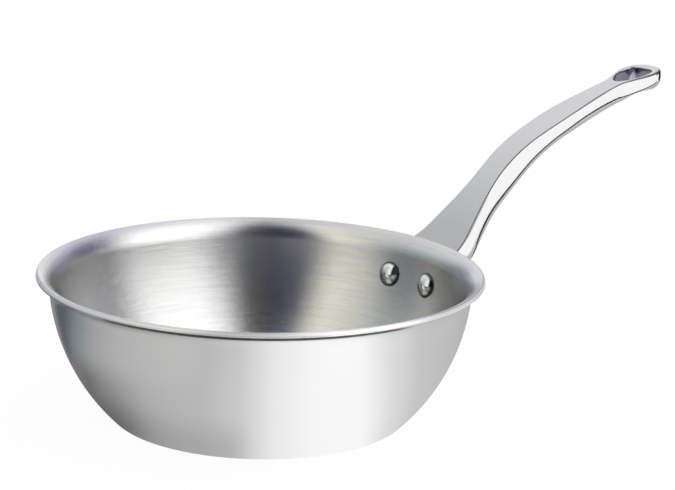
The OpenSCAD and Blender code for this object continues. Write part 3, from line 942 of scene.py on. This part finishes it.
# in thirds, as a soft box is brighter than white
room = dict(
    fill=0.62, thirds=(3, 3, 3),
    horizon=(
        (-180, 0.44), (-166, 0.41), (-157, (0.18, 0.185, 0.24)), (-150, (0.020, 0.020, 0.065)),
        (-136, (0.018, 0.018, 0.065)), (-122, (0.016, 0.020, 0.045)), (-107, (0.030, 0.045, 0.055)),
        (-92, (0.075, 0.095, 0.105)), (-75, (0.15, 0.155, 0.15)), (-66, (0.25, 0.25, 0.205)),
        (-54, (0.38, 0.37, 0.30)), (-41, cream), (-30, gap), (-4, gap), (4, dim), (33.5, dim), (38, 0.87),
        (56, softBox), (87, 0.84), (91, 0.03), (97, 0.03), (101, 0.16), (107, 0.125), (112, 0.165),
        (117, 0.14), (125, 0.11), (140, 0.11), (148, (0.090, 0.085, 0.130)), (154, (0.100, 0.090, 0.160)),
        (161, (0.140, 0.130, 0.190)), (169, 0.36), (180, 0.44)),
    middle=(
        (-180, 0.33), (-150, 0.34), (-122, (0.31, 0.335, 0.335)), (-106, (0.27, 0.30, 0.30)),
        (-96, (0.23, 0.255, 0.255)), (-80, (0.25, 0.26, 0.255)), (-70, (0.33, 0.33, 0.30)),
        (-57, (0.38, 0.37, 0.32)), (-44, (0.48, 0.465, 0.39)), (-33, 0.22), (-25, gap), (-6, gap), (0, 0.020),
        (15, 0.03), (24, 0.28), (34, 0.64), (88, 0.67), (92, 0.06), (97, 0.06), (101, 0.30), (107, 0.25),
        (114, green), (124, green), (140, 0.26), (160, 0.33)),
    upper=(
        (-180, 0.37), (-150, 0.35), (-127, 0.31), (-95, 0.42), (-45, 0.44), (-15, 0.19), (20, 0.19),
        (50, 0.62), (104, 0.62), (114, 0.38), (136, (0.33, 0.32, 0.36)), (156, (0.30, 0.285, 0.36)),
        (168, 0.38), (180, 0.37)),
    # the patterns on the right lean as they rise
    lean=0.083, leans=(0.70, 0.74),
    # horizon to middle, quicker with height behind and at the right than in front
    behind=(0.18, 0.25), right=(0.87, 0.90), quick=(0.10, 0.40), slow=(0.0, 0.55),
    # middle to upper, at a height that rises towards the camera's side
    upperFrom=0.80, upperTilt=0.60, upperSoft=0.12,
    # a grey ceiling behind
    ceiling=(0.27, 0.27, 0.275), ceilingHigh=(0.86, 0.94), ceilingTurn=(0.12, 0.20),
    # a purple board on the right
    board=(0.030, 0.020, 0.080), boardTurn=((0.788, 0.798), (0.885, 0.912)),
    boardHigh=((0.20, 0.31), (0.62, 0.72)),
    # behind, it is darker for what is seen by way of two walls
    twice=(0.06, 0.12), twiceHigh=(0.5, 0.9), twiceDark=(0.9, 0.4))

# in halves
table = dict(
    size=6.0, sunk=0.15, cameraShare=0.96, paper=(0.85, 0.85, 0.85, 1), grey=(0.09, 0.09, 0.09),
    dark=(0.02, 0.02, 0.02), black=(0.004, 0.004, 0.005), back=(0.10, 0.20),
    near=(
        (-180, 0.20), (-85, 0.08), (-62, 0.17), (-44, 0.25), (-19, 0.29), (-6, 0.35), (8, 0.49), (22, 0.55),
        (44, 0.55), (58, 0.42), (78, 0.32), (150, 0.22), (180, 0.20)),
    far=(
        (-180, 0.2), (-135, (0.050, 0.054, 0.075)), (-108, (0.055, 0.062, 0.070)),
        (-88, (0.150, 0.165, 0.170)), (-76, 0.215), (-59, 0.262), (-47, 0.275), (-35, 0.29), (-15, 0.305),
        (0, 0.42), (20, 0.51), (122, 0.51), (127, 0.26), (180, 0.2)),
    # two fields of painted contact shadow by the base, seen in reflections: how far out, and to which bearing
    leftField=((0.08, 0.13), (0.30, 0.42)), baseField=((0.085, 0.115), (0.47, 0.51)), baseShare=0.22,
    # where near becomes far: closer in beside the pan and on the left
    rim=0.40, soft=0.045, beside=((0.75, 0.80), (0.90, 0.97)), besideIn=0.09, left=(0.42, 0.48), leftIn=0.28,
    # what the rim's underside sees by way of the wall is black in front and on the left
    blackTurn=((0.28, 0.30), (0.68, 0.72)), blackOut=(0.14, 0.17))

# black flags, as photographers hang them to draw dark lines in polished metal: a level one under the
# handle, with x, y and half width along it, and an upright one beyond the tip, with x and its y and z
flags = dict(
    level=((162, -2, 3), (185, -6, 4), (212, -10, 5), (260, -19, 8.5), (300, -30, 10), (340, -42, 11),
           (374, -52, 12), (400, -55, 13), (430, -58, 14), (460, -66, 15), (500, -80, 15)),
    height=60.0, steps=60, upright=(520, (-70, 70), (80, 200)))


def aroundPan(x, y):
    # the bearing as a share of a turn, 0.5 on the camera's side, and the distance towards the camera
    right = x * float(toTheRight[0]) + y * float(toTheRight[1])
    front = x * float(towardCamera[0]) + y * float(towardCamera[1])
    return right.math("ARCTAN2", front) / (2 * np.pi) + 0.5, front


def makeWorld():
    world = bpy.data.worlds.new("studio")
    world.use_nodes = True
    bpy.context.scene.world = world
    desk = Desk(world.node_tree)
    r = room
    x, y, z = desk.parts(desk.node("ShaderNodeTexCoord", {}, out=0))
    turn, front = aroundPan(x, y)
    leaning = turn - z * z * turn.between(*r["leans"]) * r["lean"]
    horizon, middle = desk.byBearing(leaning, r["horizon"]), desk.byBearing(leaning, r["middle"])
    sides = turn.falling(*r["behind"]) + turn.between(*r["right"])
    rise = z.between(*r["quick"]) * sides + z.between(*r["slow"]) * (1 - sides)
    high = (z - (r["upperFrom"] + r["upperTilt"] * front)).between(-r["upperSoft"], r["upperSoft"])
    metal = desk.blend(high, desk.blend(rise, horizon, middle), desk.byBearing(turn, r["upper"]))
    metal = desk.blend(z.between(*r["ceilingHigh"]) * turn.falling(*r["ceilingTurn"]), metal, r["ceiling"])
    (begins, ends), (foot, top) = r["boardTurn"], r["boardHigh"]
    board = leaning.between(*begins) * turn.falling(*ends) * z.between(*foot) * z.falling(*top)
    metal = desk.blend(board, metal, r["board"])
    rays = desk.rays()
    again = rays["Glossy Depth"].between(*secondLook) * turn.math("PINGPONG", 0.5).falling(*r["twice"])
    metal = desk.blend(again * z.between(*r["twiceHigh"], *r["twiceDark"]), metal, gap)
    metal = desk.node("ShaderNodeVectorMath", dict(operation="MULTIPLY"), metal, r["thirds"])
    shown = desk.blend(rays["Is Glossy Ray"], (r["fill"],) * 3, metal)
    shown = desk.blend(rays["Is Camera Ray"], shown, white)
    desk.finish(desk.node("ShaderNodeBackground", {}, shown, 1.0), "ShaderNodeOutputWorld")


def tableLook(desk):
    # what polished metal sees of the table
    t = table
    x, y, _ = desk.parts(desk.place())
    turn = aroundPan(x, y)[0]
    reach = (x * x + y * y) ** 0.5
    back = turn.between(*t["back"])                    # the left side's patterns end before the back
    near = desk.byBearing(turn, t["near"])
    # painted contact shadow by the base, in what polished metal sees of the table
    out, bearing = t["leftField"]
    near = desk.blend(reach.falling(*out) * turn.falling(*bearing) * back, near, t["grey"])
    out, bearing = t["baseField"]
    near = desk.blend(reach.falling(*out) * turn.falling(*bearing) * back * t["baseShare"], near, t["dark"])
    begins, ends = t["beside"]
    rim = t["rim"] - turn.between(*begins) * turn.falling(*ends) * t["besideIn"]
    rim = rim - turn.falling(*t["left"]) * back * t["leftIn"]
    metal = desk.blend((reach - rim).between(0, t["soft"]), near, desk.byBearing(turn, t["far"]))
    metal = desk.node("ShaderNodeVectorMath", dict(operation="ADD"), metal, metal)
    begins, ends = t["blackTurn"]
    again = desk.rays()["Glossy Depth"].between(*secondLook) * turn.between(*begins) * turn.falling(*ends)
    return desk.blend(again * reach.falling(*t["blackOut"]), metal, t["black"])


def makeFloor():
    corners = np.array([[-1, -1, 0], [1, -1, 0], [1, 1, 0], [-1, 1, 0]]) * table["size"] / 2 / mm
    corners[:, 2] = -table["sunk"]
    floor = meshPiece("floor", corners, [np.array([[0, 1, 2, 3]])])
    material, desk = newMaterial("studio_floor")
    rays = desk.rays()
    shown = desk.blend(rays["Is Glossy Ray"], white, tableLook(desk))
    glow = desk.node("ShaderNodeEmission", {}, shown, 1.0)
    paper = desk.node("ShaderNodeBsdfDiffuse", {}, table["paper"])
    share = (rays["Is Camera Ray"] * table["cameraShare"] + rays["Is Glossy Ray"]).clamped()
    top = desk.node("ShaderNodeMixShader", {}, share, paper, glow)
    # from below the table is clear, so that the underside can be looked at; output 6 is Backfacing
    below = desk.node("ShaderNodeNewGeometry", {}, out=6)
    clear = desk.node("ShaderNodeBsdfTransparent", {})
    desk.finish(desk.node("ShaderNodeMixShader", {}, below, top, clear))
    floor.data.materials.append(material)


def makeFlags():
    line = np.array(flags["level"], float)
    x = np.linspace(line[0, 0], line[-1, 0], flags["steps"])
    y, wide = np.interp(x, line[:, 0], line[:, 1]), np.interp(x, line[:, 0], line[:, 2])
    level = np.stack([np.stack([x, y + side * wide, flags["height"] + 0 * x], -1) for side in (-1, 1)], 1)
    at, (left, right), (foot, top) = flags["upright"]
    upright = np.array([[[at, left, foot], [at, left, top]], [[at, right, foot], [at, right, top]]], float)
    material, desk = newMaterial("flag_cloth")
    weave = desk.noise(desk.place(), scale=900.0)
    cloth = desk.blend(weave, (0.001, 0.001, 0.001), (0.008, 0.008, 0.008))
    desk.finish(desk.node("ShaderNodeBsdfDiffuse", {}, cloth))
    for name, grid in (("flag_level", level), ("flag_upright", upright)):
        index = np.arange(grid.shape[0] * 2).reshape(-1, 2)
        flag = meshPiece(name, grid.reshape(-1, 3), [gridFaces(index)])
        flag.data.materials.append(material)
        flag.visible_camera = flag.visible_diffuse = flag.visible_shadow = False


def makeLamp(name, where, side, power):
    # a square lamp that looks at the pan, unseen by the camera and by polished metal
    data = bpy.data.lights.new(name, "AREA")
    data.shape, data.size, data.size_y, data.energy = "RECTANGLE", side, side, power
    lamp = bpy.data.objects.new(name, data)
    bpy.context.scene.collection.objects.link(lamp)
    ahead = unit(np.array([0.05, 0, 0.05]) - where)
    across = unit(np.cross(ahead, [0, 0, 1]))
    pose = np.eye(4)
    pose[:3, 0], pose[:3, 1], pose[:3, 2], pose[:3, 3] = across, np.cross(across, ahead), -ahead, where
    lamp.matrix_world = Matrix(pose.tolist())
    lamp.visible_camera = lamp.visible_glossy = False


makeWorld()
makeFloor()
makeFlags()
makeLamp("soft_right", toTheRight * 1.5 + towardCamera * 0.7 + np.array([0, 0, 1.2]), 1.0, 14)
makeLamp("soft_top", np.array([0.1, 0.1, 1.9]), 1.4, 12)
bpy.context.scene.view_settings.view_transform = "Standard"
print("studio set")
